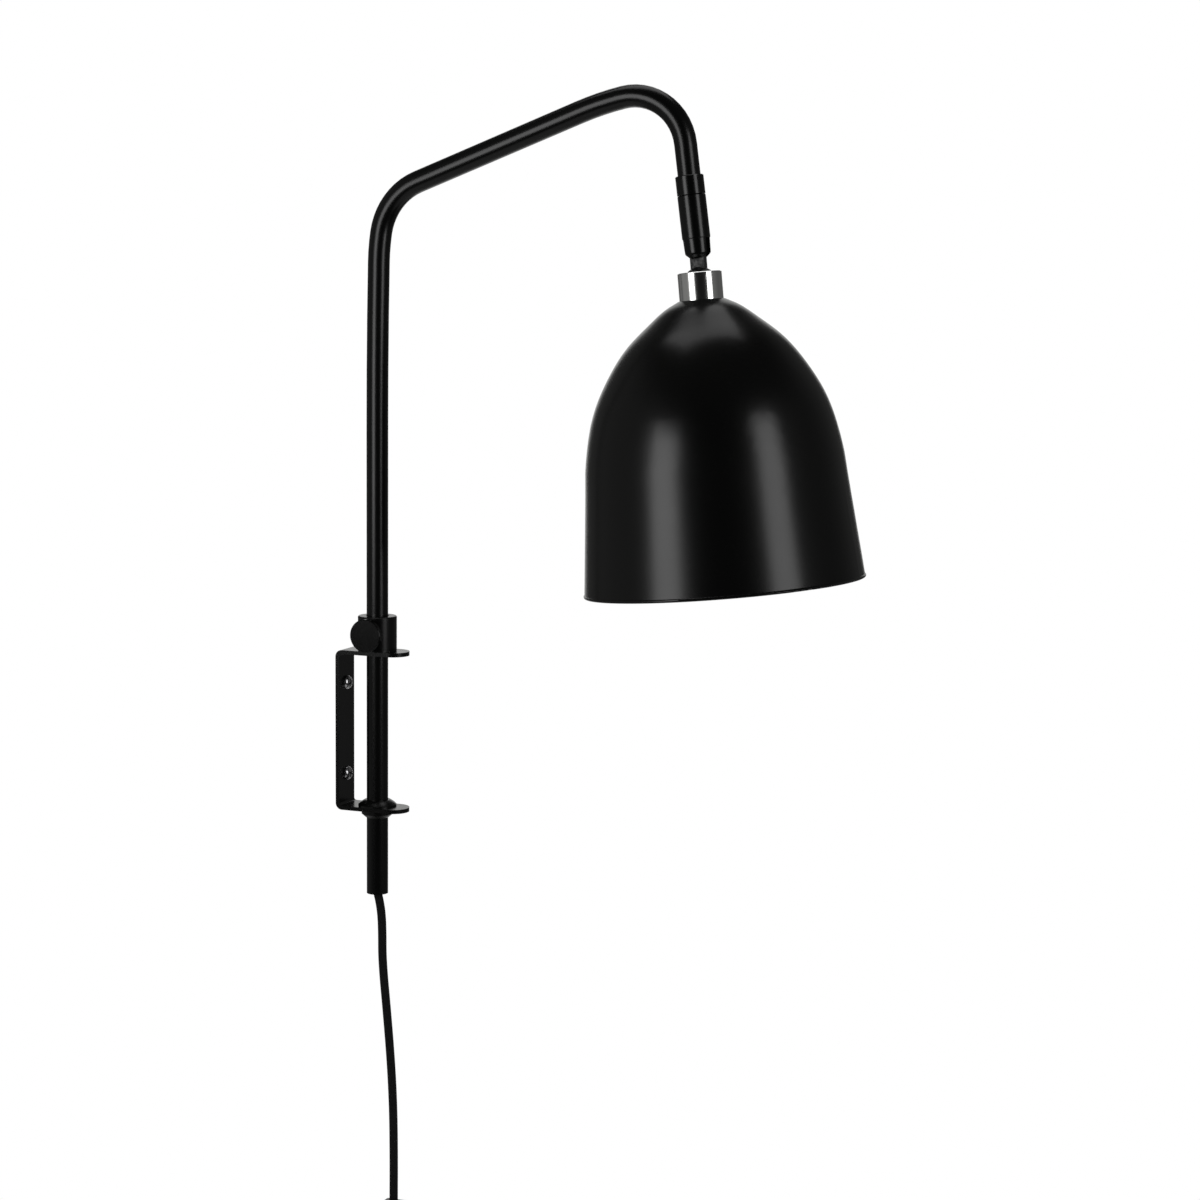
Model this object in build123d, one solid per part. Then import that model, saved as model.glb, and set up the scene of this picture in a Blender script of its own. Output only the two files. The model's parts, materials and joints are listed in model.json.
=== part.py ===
from build123d import *
from math import cos, pi, radians, sin, sqrt
import os

# A swing-arm wall lamp with a plug.  Millimetres.  The origin lies on the wall, at the middle of
# the bracket's plate: X points out of the wall, Y along it and Z up.

# wall bracket: one steel strip bent to a C
strip_width = 20.0
strip_thickness = 2.5
bracket_height = 98.0
bracket_bend = 1.6
ear_reach = 43.7
ear_bore_radius = 8.0
screw_spacing = 56.0
screw_hole_radius = 2.4

# short pan-head screws; their threaded ends stand a little out of the plate's back
screw_neck_radius = 1.7
screw_radius = 2.0
screw_stand_out = 3.0
screw_tip = 0.4
screw_head_radius = 4.25
screw_head_height = 2.7
cross_width = 1.1
cross_length = 4.6
cross_depth = 1.5

# arm: one tube, bent twice, each bend with a soft lead-in; its upright bows a little
tube_radius = 6.5
tube_wall = 1.0
tube_axis_x = 23.3
tube_bottom_z = -100.6
upright_length = 382.0
bow_length = 95.0
bow_turn = 1.2
lead_in_radius = 130.0
lead_in_turn = 7.64
shoulder_radius = 37.9
slant_angle = 20.8
slant_length = 109.2
crest_radius = 189.0
crest_turn = 8.4
hook_radius = 31.5
end_tilt = 7.8
hook_leg = 17.7

# sliding and turning fits, all per side
running_gap = 0.05
slide_gap = 0.1
face_gap = 0.15

# locking collar and lower bush
collar_radius = 11.75
collar_height = 21.0
collar_chamfer = 0.5
bush_radius = 11.6
bush_edge = 1.0
bush_dome = 4.0
bush_lip_radius = 9.6
bush_lip_edge = 2.2
bush_lip_depth = 4.4

# thumbscrew, M6, its axis level and square to the arm
thumb_radius = 3.0
knob_radius = 10.0
knob_thickness = 3.0
knob_chamfer = 0.45
knob_face_reach = 17.0
knob_neck_radius = 4.2
knob_socket_depth = 1.6

# swivel at the arm's end
swivel_radius = 8.05
ring_height = 11.0
knuckle_height = 35.6
pin_to_end = 6.0
swivel_edge = 0.4
seam_edge = 0.3
spigot_radius = 5.4
spigot_length = 9.0
clip_thickness = 1.0
clip_radius = 6.3
clip_opening = 3.0
clip_groove_depth = 0.8
clip_to_end = 2.0
chamber_room = 6.0
wire_bore_radius = 3.2
fork_room = 0.75
fork_taper = 0.7
fork_step = 0.35
fork_step_height = 0.5
fork_round = 2.6
knuckle_pin_radius = 2.0
pin_recess = 0.3
pin_cover = 0.9
washer_radius = 3.9
washer_thickness = 0.35

# thread that joins the swivel, the cap, the shade and the lampholder
thread_radius = 5.0
insert_length = 12.0
insert_reach = 7.0

# hanging head: distances are measured down the head's own axis from the knuckle pin
head_tilt = 5.8
tongue_width = 8.5
tongue_thickness = 6.0
tongue_root = 1.5
tongue_edge = 0.7
flare_top = 10.8
flare_radius = 6.4
flare_edge = 0.9
cap_top = 13.8
cap_radius = 12.6
cap_height = 15.6
cap_wall = 1.2
cap_chamfer = 0.35
stud_length = 29.0
stud_bore_radius = 2.9

# spun shade
shade_wall = 1.0
shade_height = 162.3
shade_rim_radius = 80.2
shade_waist_radius = 75.5
shade_waist_depth = 112.0
shade_seat_radius = 13.2
shade_seat_fall = 28.0
rim_bead_radius = 1.0

# lampholder for a small screw cap
nut_across_flats = 17.0
nut_height = 3.0
holder_gap = 0.6
holder_cap_radius = 14.0
holder_cap_height = 18.0
holder_boss_wall = 2.2
holder_boss_height = 3.0
holder_shoulder = 7.0
holder_wall = 1.6
holder_radius = 13.6
holder_skirt = 3.0
holder_length = 38.0
holder_floor = 8.0
holder_edge = 1.2
socket_radius = 7.1
shell_wall = 0.5
shell_length = 22.0
contact_room = 6.0
contact_radius = 2.8
contact_height = 3.8
terminal_size = 4.5
terminal_offset = 8.5
terminal_hole_radius = 1.0
lead_entry = 4.0

# textile cord: what the lamp hangs out of its tube, its switch, coil and plug
cord_radius = 2.6
grommet_length = 8.0
switch_length = 58.0
switch_width = 25.0
switch_end_width = 15.5
switch_shoulder = 15.0
switch_half = 8.5
switch_corner = 4.0
switch_edge = 2.6
switch_screw_spacing = 39.4
switch_screw_radius = 2.0
switch_screw_sink = 1.5
rocker_length = 20.0
rocker_width = 10.0
rocker_tilt = 6.0
rocker_proud = 2.4
rocker_dip = 1.4
rocker_edge = 0.6
rocker_pivot_radius = 1.5
journal_radius = 1.2
journal_length = 1.2
rocker_gap = 0.35
rocker_well = 7.0
rocker_floor_gap = 1.2
coil_layers = 4
turns_per_layer = 2
coil_gap = 0.6
coil_mean_radius = 30.0
link_length = 22.0
tail_length = 60.0
tie_width = 12.0
tie_thickness = 1.2
tie_slack = 0.5
tie_round = 2.2
plug_width = 35.3
plug_depth = 13.7
plug_face_height = 15.0
plug_neck_width = 14.0
plug_neck_depth = 10.8
plug_neck_height = 20.0
plug_relief_length = 22.0
relief_ribs = 4
relief_skin = 0.7
relief_rib_height = 0.7
relief_swell = 0.35
plug_pin_radius = 2.0
plug_pin_tip = 1.0
plug_pin_length = 19.0
plug_pin_spacing = 18.6

# the cord's free stretch from the tube's end to the switch, in the plane of the arm: (X, Z)
cord_route = [
    (tube_axis_x, tube_bottom_z),
    (tube_axis_x, -108.2),
    (26.2, -121.2),
    (26.3, -142.2),
    (29.9, -177.2),
    (32.4, -207.2),
    (33.6, -235.2),
    (34.4, -265.2),
    (34.4, -295.2),
]

# values that follow from the ones above
ear_top = bracket_height / 2
tube_bore = tube_radius - tube_wall
collar_bore = tube_radius + slide_gap
spigot_fit = ear_bore_radius - running_gap
knob_height = ear_top + collar_height / 2
thread_fit = thread_radius + running_gap
clip_top = clip_to_end + clip_thickness - ring_height - spigot_length
fork_slot_width = tongue_thickness + 2 * (washer_thickness + running_gap)
fork_slot_depth = pin_to_end + tongue_width / 2 + fork_room
pin_drop = ring_height + knuckle_height - pin_to_end
pin_front = swivel_radius - fork_taper - pin_cover
cap_bottom = cap_top + cap_height
nut_top = cap_bottom + shade_wall
holder_top = nut_top + nut_height + holder_gap
holder_split = holder_top + holder_cap_height
socket_floor = holder_split + holder_floor
holder_mouth = holder_split + holder_length
coil_pitch = 2 * cord_radius + coil_gap
coil_turns = coil_layers * turns_per_layer
coil_outer = coil_mean_radius + coil_pitch * turns_per_layer / 2
end_straight = 2 * cord_radius


def turned(*points):
    """A solid of revolution about Z from its half profile, given as (radius, height) corners."""
    return revolve(Plane.XZ * make_face(Polyline(*points, close=True)), Axis.Z)


def rod(radius, bottom, top):
    return Pos(0, 0, (bottom + top) / 2) * Cylinder(radius, top - bottom)


def along_y(shape):
    """Turns a shape made along Z so that its top points to the front, along -Y."""
    return Rot(90, 0, 0) * shape


def arm_path():
    """The tube's centre line in the plane of the arm, from its lower end to its last face."""
    bow_start = tube_bottom_z + upright_length - bow_length
    legs = [Line((tube_axis_x, tube_bottom_z), (tube_axis_x, bow_start))]
    shoulder_turn = 90 - bow_turn - lead_in_turn - slant_angle
    hook_turn = slant_angle - crest_turn + 90 - end_tilt

    def bend(radius, turn):
        legs.append(JernArc(legs[-1] @ 1, legs[-1] % 1, radius, -turn))

    def straight(length):
        legs.append(Line(legs[-1] @ 1, (legs[-1] @ 1) + (legs[-1] % 1) * length))

    bend(bow_length / radians(bow_turn), bow_turn)
    bend(lead_in_radius, lead_in_turn)
    bend(shoulder_radius, shoulder_turn)
    straight(slant_length)
    bend(crest_radius, crest_turn)
    bend(hook_radius, hook_turn)
    straight(hook_leg)
    return Plane.XZ * Wire([leg.edge() for leg in legs])


def swept(path, section):
    start = Plane(origin=path @ 0, z_dir=path % 0)
    return sweep(start * section, path=path)


arm_line = arm_path()
arm_end = arm_line @ 1
swivel_place = Pos(*arm_end) * Rot(0, -end_tilt, 0)
pin_place = swivel_place * Pos(0, 0, -pin_drop)
head_place = Pos(*pin_place.position) * Rot(0, -head_tilt, 0)


# ---- wall bracket ---------------------------------------------------------------------------
def wall_bracket():
    outline = Pos(ear_reach / 2, 0) * Rectangle(ear_reach, bracket_height)
    opening = Pos(ear_reach / 2 + strip_thickness, 0) * Rectangle(
        ear_reach, bracket_height - 2 * strip_thickness
    )
    outer_corners = outline.vertices().group_by(Axis.X)[0]
    inner_corners = opening.vertices().group_by(Axis.X)[0]
    outline = fillet(outer_corners, bracket_bend + strip_thickness)
    opening = fillet(inner_corners, bracket_bend)
    strip = extrude(Plane.XZ * (outline - opening), strip_width / 2, both=True)
    tip = ear_reach - strip_width / 2
    plan = Pos(tip / 2, 0) * Rectangle(tip, strip_width) + Pos(tip, 0) * Circle(strip_width / 2)
    strip = strip & extrude(plan, bracket_height, both=True)
    strip -= Pos(tube_axis_x, 0, 0) * Cylinder(ear_bore_radius, 2 * bracket_height)
    hole = Rot(0, 90, 0) * Cylinder(screw_hole_radius, 4 * strip_thickness)
    for side in (-1, 1):
        strip -= Pos(0, 0, side * screw_spacing / 2) * hole
    return strip


def wall_screw():
    """Pan head above Z = 0; below it the neck, through the plate, and the threaded end."""
    crown = ThreePointArc(
        (screw_head_radius, screw_head_height * 0.35),
        (screw_head_radius * 0.72, screw_head_height * 0.84),
        (0, screw_head_height),
    )
    profile = Polyline((0, screw_head_height), (0, 0), (screw_head_radius, 0),
                       (screw_head_radius, screw_head_height * 0.35))
    head = revolve(Plane.XZ * make_face([crown, profile]), Axis.Z)
    neck_end = -strip_thickness
    end = neck_end - screw_stand_out
    shank = turned((0, 0), (screw_neck_radius, 0), (screw_neck_radius, neck_end),
                   (screw_radius, neck_end), (screw_radius, end + screw_tip),
                   (screw_radius - screw_tip, end), (0, end))
    screw = head + shank
    for turn in (0, 90):
        slot = Box(cross_length, cross_width, 2 * cross_depth)
        screw -= Pos(0, 0, screw_head_height) * Rot(0, 0, turn) * slot
    return screw


def wall_screws():
    face = Plane((strip_thickness, 0, 0), x_dir=(0, 1, 0), z_dir=(1, 0, 0))
    return Compound([
        face * Pos(0, side * screw_spacing / 2, 0) * Rot(0, 0, 20 * side) * wall_screw().solid()
        for side in (-1, 1)
    ])


def lower_bush():
    seat = strip_thickness - ear_top
    dome = ThreePointArc(
        (bush_radius, seat + bush_edge),
        (bush_radius * 0.86, seat + bush_dome * 0.62),
        (collar_bore + 0.9, seat + bush_dome),
    )
    foot = -ear_top - bush_lip_depth
    rest = Polyline((collar_bore + 0.9, seat + bush_dome), (collar_bore, seat + bush_dome),
                    (collar_bore, foot), (collar_bore + 0.5, foot),
                    (bush_lip_radius, -ear_top - bush_lip_edge), (bush_lip_radius, -ear_top),
                    (spigot_fit, -ear_top), (spigot_fit, seat),
                    (bush_radius, seat), (bush_radius, seat + bush_edge))
    body = revolve(Plane.XZ * make_face([dome, rest]), Axis.Z)
    return Pos(tube_axis_x, 0, 0) * body


# ---- collar and thumbscrew --------------------------------------------------------------------
def locking_collar():
    top = ear_top + collar_height
    body = turned(
        (collar_bore, ear_top - strip_thickness), (spigot_fit, ear_top - strip_thickness),
        (spigot_fit, ear_top), (collar_radius, ear_top),
        (collar_radius, top - collar_chamfer), (collar_radius - collar_chamfer, top),
        (collar_bore + collar_chamfer, top), (collar_bore, top - collar_chamfer),
    )
    thread = Pos(0, 0, knob_height) * along_y(rod(thumb_radius + running_gap, 0, collar_radius + 1))
    return Pos(tube_axis_x, 0, 0) * (body - thread)


def thumb_place(shape):
    return Pos(tube_axis_x, 0, knob_height) * along_y(shape)


def thumbscrew_shank():
    tip = tube_radius + running_gap
    outer = knob_face_reach - knob_thickness + knob_socket_depth
    chamfer = 0.6
    shank = turned((0, tip), (thumb_radius - chamfer, tip), (thumb_radius, tip + chamfer),
                   (thumb_radius, outer), (0, outer))
    return thumb_place(shank)


def thumbscrew_knob():
    back = knob_face_reach - knob_thickness
    neck = collar_radius + face_gap
    knob = turned(
        (0, knob_face_reach), (knob_radius - knob_chamfer, knob_face_reach),
        (knob_radius, knob_face_reach - knob_chamfer), (knob_radius, back + knob_chamfer),
        (knob_radius - knob_chamfer, back), (knob_neck_radius, back),
        (knob_neck_radius, neck), (thumb_radius + running_gap, neck),
        (thumb_radius + running_gap, back + knob_socket_depth), (0, back + knob_socket_depth),
    )
    return thumb_place(knob)


# ---- arm ------------------------------------------------------------------------------------
def arm_tube():
    return swept(arm_line, Circle(tube_radius) - Circle(tube_bore))


def arm_flex():
    """The lamp's own cord inside the tube, from the grommet to the swivel."""
    inside = swept(arm_line, Circle(cord_radius))
    return inside + swivel_place * rod(cord_radius, -ring_height - spigot_length, 0)


def tube_grommet():
    bore = cord_radius + running_gap
    ring = turned((bore, 0), (tube_bore, 0), (tube_bore, grommet_length), (bore, grommet_length))
    return Pos(tube_axis_x, 0, tube_bottom_z) * ring


def tube_insert():
    """Threaded insert fixed in the tube's end, on which the swivel ring screws."""
    insert = turned((wire_bore_radius, insert_length), (tube_bore, insert_length), (tube_bore, 0),
                    (thread_radius, 0), (thread_radius, -insert_reach),
                    (wire_bore_radius, -insert_reach))
    return swivel_place * insert


# ---- swivel ---------------------------------------------------------------------------------
def swivel_ring():
    groove_bottom = clip_top - clip_thickness
    groove_radius = spigot_radius - clip_groove_depth
    ring = turned(
        (thread_radius, 0), (swivel_radius - swivel_edge, 0), (swivel_radius, -swivel_edge),
        (swivel_radius, seam_edge - ring_height), (swivel_radius - seam_edge, -ring_height),
        (spigot_radius, -ring_height),
        (spigot_radius, clip_top), (groove_radius, clip_top),
        (groove_radius, groove_bottom), (spigot_radius, groove_bottom),
        (spigot_radius, -ring_height - spigot_length),
        (wire_bore_radius, -ring_height - spigot_length), (wire_bore_radius, -insert_reach),
        (thread_radius, -insert_reach),
    )
    return swivel_place * ring


def swivel_clip():
    """Open spring ring in the spigot's groove; it carries the knuckle."""
    bottom = clip_top - clip_thickness
    inner = spigot_radius - clip_groove_depth
    clip = rod(clip_radius, bottom, clip_top) - rod(inner, bottom - 1, clip_top + 1)
    clip -= Pos(clip_radius, 0, clip_top) * Box(2 * clip_radius, clip_opening, 4 * clip_thickness)
    return swivel_place * clip


def knuckle_body():
    top = -ring_height - face_gap
    end = -ring_height - knuckle_height
    slot_top = end + fork_slot_depth
    shoulder = clip_top + running_gap
    chamber_floor = clip_top - clip_thickness - chamber_room
    low_radius = swivel_radius - fork_taper
    outline = Polyline(
        (wire_bore_radius, end), (low_radius - fork_round, end), (low_radius, end + fork_round),
        (swivel_radius - fork_step, slot_top), (swivel_radius, slot_top + fork_step_height),
        (swivel_radius, top - seam_edge), (swivel_radius - seam_edge, top),
        (spigot_radius + running_gap, top),
        (spigot_radius + running_gap, shoulder), (clip_radius + running_gap, shoulder),
        (clip_radius + running_gap, chamber_floor), (wire_bore_radius, chamber_floor), close=True,
    )
    face = make_face(outline)
    corner = face.vertices().sort_by_distance(Vector(low_radius, end + fork_round / 2, 0))[:2]
    face = fillet(corner, fork_round * 0.8)
    body = revolve(Plane.XZ * face, Axis.Z)
    body -= Pos(0, 0, end) * Box(4 * swivel_radius, fork_slot_width, 2 * fork_slot_depth)
    body -= Pos(0, 0, -pin_drop) * along_y(rod(knuckle_pin_radius, -2 * swivel_radius, pin_front))
    return swivel_place * body


def knuckle_pin():
    """Pressed in from the back; the fork's front arm covers its end."""
    pin = rod(knuckle_pin_radius, pin_recess + fork_taper - swivel_radius, pin_front)
    pin = chamfer(pin.edges().filter_by(GeomType.CIRCLE), pin_recess)
    return pin_place * along_y(pin)


def knuckle_washers():
    outer = fork_slot_width / 2
    ring = rod(washer_radius, outer - washer_thickness, outer)
    ring -= rod(knuckle_pin_radius + running_gap, 0, 2 * outer)
    return Compound([
        (pin_place * along_y(Rot(turn, 0, 0) * ring)).solid() for turn in (0, 180)
    ])


# ---- hanging head ---------------------------------------------------------------------------
def head_tongue():
    """Flat tongue in the fork, flared foot and threaded stud, turned from one bar."""
    tongue_end = flare_top + tongue_root
    tongue = Pos(0, 0, -tongue_end / 2) * Box(tongue_width, tongue_thickness, tongue_end)
    tongue += along_y(rod(tongue_width / 2, -tongue_thickness / 2, tongue_thickness / 2))
    flats = tongue.faces().sort_by(Axis.Y)
    tongue = chamfer(flats[0].edges() + flats[-1].edges(), tongue_edge)
    foot = turned(
        (0, -flare_top), (tongue_thickness / 2, -flare_top), (flare_radius, -cap_top + flare_edge),
        (flare_radius, -cap_top), (thread_radius, -cap_top),
        (thread_radius, -cap_top - stud_length), (0, -cap_top - stud_length),
    )
    body = tongue + foot
    body -= rod(stud_bore_radius, -cap_top - stud_length - 1, -cap_top)
    body -= along_y(rod(knuckle_pin_radius + running_gap, -tongue_width, tongue_width))
    return head_place * body


def chrome_cap():
    inner = cap_radius - cap_wall
    cup = turned(
        (thread_fit, -cap_top), (cap_radius - cap_chamfer, -cap_top),
        (cap_radius, -cap_top - cap_chamfer), (cap_radius, -cap_bottom), (inner, -cap_bottom),
        (inner, -cap_top - 2 * cap_wall), (thread_fit, -cap_top - 2 * cap_wall),
    )
    return head_place * cup


def bell_points():
    """The bell's outer half profile from its seat to its waist, Y down from the seat."""
    shares = [(0.260, 0.029), (0.401, 0.100), (0.581, 0.207), (0.766, 0.377), (0.905, 0.582),
              (0.974, 0.805), (1.0, 1.0)]
    return [Vector(shade_seat_radius, 0)] + [
        Vector(shade_waist_radius * out, -shade_waist_depth * down) for out, down in shares
    ]


def bell(inset):
    """The shade's filled outline, moved in by inset along its own normal."""
    points = bell_points()
    skirt = Vector(shade_rim_radius - shade_waist_radius, shade_waist_depth - shade_height)
    ways = [Vector(1, 0).rotate(Axis.Z, -shade_seat_fall), skirt.normalized()]
    outer = Spline(*points, tangents=ways)
    headings = [outer % outer.param_at_point(point) for point in points]
    moved = [point + Vector(way.Y, -way.X) * inset for point, way in zip(points, headings)]
    side = Spline(*moved, tangents=ways)
    rim_radius = shade_rim_radius + ways[1].Y * inset
    rest = Polyline(side @ 1, (rim_radius, -shade_height), (0, -shade_height),
                    (0, (side @ 0).Y), side @ 0)
    return revolve(Plane.XZ * make_face([side, rest]), Axis.Z)


def shade():
    shell = bell(0) - bell(shade_wall)
    shell -= Cylinder(thread_fit, 4 * shade_wall)
    bead_centre = shade_rim_radius - rim_bead_radius / 2
    bead = Pos(0, 0, -shade_height) * Torus(bead_centre, rim_bead_radius)
    return head_place * Pos(0, 0, -cap_bottom) * (shell + bead)


def shade_nut():
    nut = extrude(RegularPolygon(nut_across_flats / 2, 6, major_radius=False), nut_height)
    nut -= Cylinder(thread_fit, 4 * nut_height)
    return head_place * Pos(0, 0, -nut_top - nut_height) * nut


def holder_cap():
    inner = holder_cap_radius - holder_wall
    boss = thread_radius + holder_boss_wall
    shoulder = -holder_top - holder_shoulder
    cap = turned(
        (thread_fit, -holder_top), (boss, -holder_top),
        (boss + 1.0, -holder_top - holder_boss_height), (holder_cap_radius, shoulder),
        (holder_cap_radius, -holder_split), (inner, -holder_split), (inner, shoulder - 1.0),
        (boss, shoulder + holder_wall), (boss, shoulder), (thread_fit, shoulder),
    )
    return head_place * cap


def holder_body():
    step = holder_cap_radius - holder_radius
    skirt = -holder_split - holder_skirt
    pocket = socket_radius + shell_wall
    body = turned(
        (0, -holder_split), (holder_cap_radius, -holder_split), (holder_cap_radius, skirt),
        (holder_radius, skirt - step), (holder_radius, holder_edge - holder_mouth),
        (holder_radius - holder_edge, -holder_mouth), (pocket + holder_edge, -holder_mouth),
        (pocket, holder_edge - holder_mouth), (pocket, -socket_floor), (0, -socket_floor),
    )
    body -= rod(cord_radius + running_gap, -holder_split - lead_entry, 1 - holder_split)
    return head_place * body


def contact_shell():
    top = -socket_floor - contact_room
    shell = rod(socket_radius + shell_wall, top - shell_length, top)
    return head_place * (shell - rod(socket_radius, top - shell_length - 1, top + 1))


def centre_contact():
    stem = contact_radius / 2
    spring = turned(
        (0, 0), (contact_radius, 0), (contact_radius, -contact_height * 0.2),
        (stem, -contact_height * 0.4), (stem, -contact_height * 0.8),
        (stem / 2, -contact_height), (0, -contact_height),
    )
    return head_place * Pos(0, 0, -socket_floor) * spring


def holder_terminals():
    block = Pos(0, 0, terminal_size / 2) * Box(terminal_size, terminal_size, terminal_size)
    block -= Pos(0, 0, terminal_size) * Cylinder(terminal_hole_radius, terminal_size)
    place = head_place * Pos(0, 0, -holder_split)
    return Compound([(place * Pos(0, side * terminal_offset, 0) * block).solid() for side in (-1, 1)])


def holder_lead():
    """The flex inside the stud, down to the lampholder's own hole."""
    return head_place * rod(cord_radius, -holder_split - lead_entry, -cap_top)


# ---- cord -----------------------------------------------------------------------------------
def hung_tube(points):
    """A tube along a route in the plane of the arm, each bend as large as its runs allow."""
    corners = [Vector(x, 0, z) for x, z in points]
    runs = [b - a for a, b in zip(corners, corners[1:])]
    radii = []
    for before, after in zip(runs, runs[1:]):
        half_turn = radians(before.get_angle(after)) / 2
        radii.append(0.45 * min(before.length, after.length) / sin(half_turn) * cos(half_turn))
    print("cord bends, mm:", [round(r) for r in radii])
    path = FilletPolyline(*corners, radius=radii)
    tube = swept(path, Circle(cord_radius))
    print("cord length", round(path.length, 1), "volume over section times length",
          round(tube.volume / (pi * cord_radius ** 2 * path.length), 4))
    return tube


switch_top = Vector(cord_route[-1][0], 0, cord_route[-1][1])
coil_top = switch_top.Z - switch_length - link_length
coil_height = coil_top - end_straight
coil_start_x = switch_top.X
coil_end_x = coil_start_x + coil_pitch * (coil_layers - 1)
tail_top = coil_height - end_straight
plug_top = tail_top - tail_length


def power_cord():
    return hung_tube(cord_route)


def straight_cord(x, bottom, top):
    return Pos(x, 0, 0) * rod(cord_radius, bottom, top)


def cord_link():
    return straight_cord(coil_start_x, coil_top, switch_top.Z - switch_length)


def cord_tail():
    return straight_cord(coil_end_x, plug_top, tail_top)


def coil_point(turn):
    """Centre line of the coil after so many turns: in and out again, a layer further each time."""
    layer = min(int(turn / turns_per_layer), coil_layers - 1)
    step = turn - layer * turns_per_layer
    inward = layer % 2 == 0
    radius = coil_outer - coil_pitch * (step if inward else turns_per_layer - step)
    nearest = round(turn / turns_per_layer)
    rise = 0.0
    if 0 < nearest < coil_layers:
        across = turn - nearest * turns_per_layer
        if abs(across) < 0.25:
            rise = 0.5 + 0.5 * sin(2 * pi * across) - (0 if across < 0 else 1)
    return radius, layer + rise


def coil_position(turn):
    radius, level = coil_point(turn)
    angle = pi + 2 * pi * turn
    return Vector(coil_start_x + coil_pitch * level,
                  coil_outer + radius * cos(angle),
                  coil_height + radius * sin(angle))


def coil_heading(turn):
    small = 1e-4
    low, high = max(turn - small, 0), min(turn + small, coil_turns)
    return (coil_position(high) - coil_position(low)).normalized()


def biarc(start, start_way, end, end_way):
    """Two arcs that leave start and reach end along the given ways and meet smoothly."""
    chord, ways = end - start, start_way + end_way
    square = 2 * (1 - start_way.dot(end_way))
    reach = (sqrt(chord.dot(ways) ** 2 + square * chord.dot(chord)) - chord.dot(ways)) / square
    first, second = start + start_way * reach, end - end_way * reach
    middle = (first + second) * 0.5
    return [Edge.make_tangent_arc(start, start_way, middle),
            Edge.make_tangent_arc(middle, second - first, end)]


def cord_coil():
    """The put-away cord: one tube, coiled flat to the wall, leaving at the top and the foot."""
    down = Vector(0, 0, -1)
    steps = 4 * coil_turns
    marks = [(coil_position(i / 4), coil_heading(i / 4)) for i in range(steps + 1)]
    marks[0] = (marks[0][0], down)
    marks[-1] = (marks[-1][0], down)
    edges = [Edge.make_line(marks[0][0] - down * end_straight, marks[0][0])]
    for (a, way_a), (b, way_b) in zip(marks, marks[1:]):
        edges += biarc(a, way_a, b, way_b)
    edges.append(Edge.make_line(marks[-1][0], marks[-1][0] + down * end_straight))
    path = Wire(edges)
    print("coil length", round(path.length, 1), "least gap", round(coil_least_gap(), 2))
    return swept(path, Circle(cord_radius))


def coil_least_gap():
    per_turn = 48
    points = [coil_position(i / per_turn) for i in range(per_turn * coil_turns + 1)]
    least = 1e9
    for i in range(len(points)):
        for j in range(i + per_turn // 2, len(points)):
            least = min(least, (points[i] - points[j]).length)
    return least - 2 * cord_radius


def cord_tie():
    """A strap round the coil's bundle, at the top of the ring."""
    half_bundle = coil_pitch * (turns_per_layer - 0.5) / 2 + cord_radius
    top = coil_mean_radius + half_bundle + tie_slack
    foot = sqrt((coil_mean_radius - half_bundle) ** 2 - (tie_width / 2) ** 2) - tie_slack
    deep = coil_pitch * (coil_layers - 1) + 2 * (cord_radius + tie_slack)
    outer = RectangleRounded(deep + 2 * tie_thickness, top - foot + 2 * tie_thickness,
                             tie_round + tie_thickness)
    inner = RectangleRounded(deep, top - foot, tie_round)
    band = extrude(Plane.XZ * (outer - inner), tie_width / 2, both=True)
    middle = (coil_start_x + coil_end_x) / 2
    return Pos(middle, coil_outer, coil_height + (top + foot) / 2) * band


# ---- switch on the cord -----------------------------------------------------------------------
switch_middle = Vector(switch_top.X, 0, switch_top.Z - switch_length / 2)
switch_face = Plane(switch_middle, x_dir=(0, 1, 0), z_dir=(1, 0, 0))
switch_back = switch_face * Rot(0, 180, 0)
rocker_pivot = switch_half - rocker_well + rocker_pivot_radius + rocker_floor_gap


def switch_half_shell():
    corner = [(switch_width / 2, switch_shoulder), (switch_end_width / 2, switch_length / 2)]
    right = [(x, -z) for x, z in reversed(corner)] + corner
    left = [(-x, -z) for x, z in right]
    face = make_face(Polyline(*right, *left, close=True))
    half = extrude(fillet(face.vertices(), switch_corner), switch_half)
    return fillet(half.faces().sort_by(Axis.Z)[-1].edges(), switch_edge)


def switch_cover():
    """Its two pockets for the rocker's journals are open towards the base."""
    well = Box(rocker_width + 2 * rocker_gap, rocker_length + 2 * rocker_gap, 2 * rocker_well)
    pocket_radius = journal_radius + slide_gap
    pocket_width = rocker_width + 2 * (journal_length + rocker_gap)
    pocket = Rot(0, 90, 0) * Cylinder(pocket_radius, pocket_width)
    pocket += Pos(0, 0, -rocker_pivot / 2) * Box(pocket_width, 2 * pocket_radius, rocker_pivot)
    half = switch_half_shell() - Pos(0, 0, switch_half) * well
    return switch_face * (half - Pos(0, 0, rocker_pivot) * pocket)


def switch_screw_place(side):
    return Pos(0, side * switch_screw_spacing / 2, switch_half - switch_screw_sink)


def switch_base():
    sink = Pos(0, 0, switch_half / 2) * Cylinder(switch_screw_radius + rocker_gap, switch_half)
    half = switch_half_shell()
    for side in (-1, 1):
        half -= switch_screw_place(side) * sink
    return switch_back * half


def switch_screws():
    height = switch_screw_sink * 0.8
    head = rod(switch_screw_radius, 0, height)
    head -= Pos(0, 0, height) * Box(3 * switch_screw_radius, switch_screw_radius * 0.4, height)
    return Compound([
        (switch_back * switch_screw_place(side) * head).solid() for side in (-1, 1)
    ])


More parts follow.
